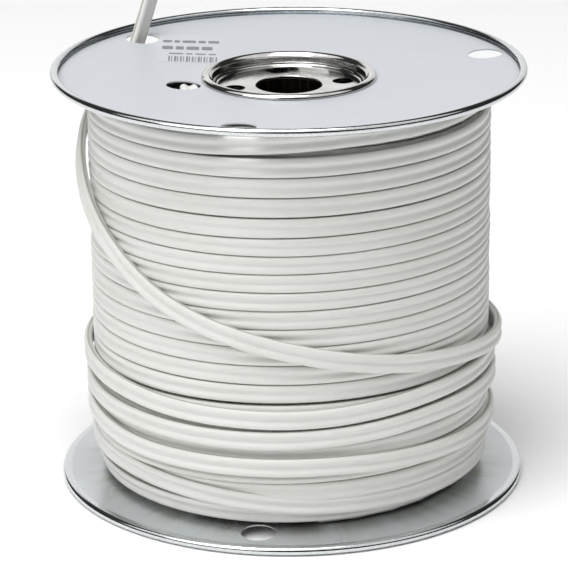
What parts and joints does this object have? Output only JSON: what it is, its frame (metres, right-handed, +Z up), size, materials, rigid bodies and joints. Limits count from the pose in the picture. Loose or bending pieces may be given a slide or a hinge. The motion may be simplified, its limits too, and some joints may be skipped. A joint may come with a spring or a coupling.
{
  "type": "wire spool",
  "caption": "Steel wire spool with dished flanges and a pressed hub, wound full of flat white building cable whose free end comes up through a hole in the upper flange.",
  "frame": {"origin": "on the reel's axis, in the plane that the lower flange's rolled edge stands on", "axes": "+Z up along the reel's axis, -Y towards the viewer"},
  "size_m": [0.254, 0.254, 0.2523],
  "materials": {
    "flange_steel": "pale matte zinc plating",
    "hub_steel": "bright plated pressing",
    "tube_steel": "dull uncoated steel",
    "label_paper": null,
    "cable_sheath": "satin warm white",
    "black_insulation": "smooth",
    "white_insulation": "smooth",
    "copper_wire": "bright copper",
    "ground_paper": "kraft paper wrap"
  },
  "bodies": {
    "reel": {"upper_flange": "flange_steel", "lower_flange": "flange_steel", "upper_hub_cup": "hub_steel", "lower_hub_cup": "hub_steel", "barrel": "flange_steel", "arbor_tube": "tube_steel", "flange_label": "label_paper", "start_end": "cable_sheath", "cable_layer_01": "cable_sheath", "cable_layer_02": "cable_sheath", "cable_layer_03": "cable_sheath", "cable_layer_04": "cable_sheath", "cable_layer_05": "cable_sheath", "cable_layer_06": "cable_sheath", "cable_layer_07": "cable_sheath", "cable_layer_08": "cable_sheath", "cable_layer_09": "cable_sheath", "cable_layer_10": "cable_sheath", "cable_layer_11": "cable_sheath", "cable_layer_12": "cable_sheath", "cable_layer_13": "cable_sheath", "cable_layer_14": "cable_sheath", "cable_layer_15": "cable_sheath", "outer_turns": "cable_sheath", "last_turn": "cable_sheath"},
    "cable_tail": {"tail_sheath": "cable_sheath", "black_insulation": "black_insulation", "white_insulation": "white_insulation", "black_wire_core": "copper_wire", "white_wire_core": "copper_wire", "ground_wire": "copper_wire", "ground_paper": "ground_paper"}
  },
  "joints": [
    {"name": "tail_bend", "type": "hinge", "parent": "reel", "child": "cable_tail", "pos_m": [-0.08291, 0.07216, 0.2266], "axis": [-0.5967, -0.6856, 0.417], "range_deg": [-45, 45]}
  ]
}
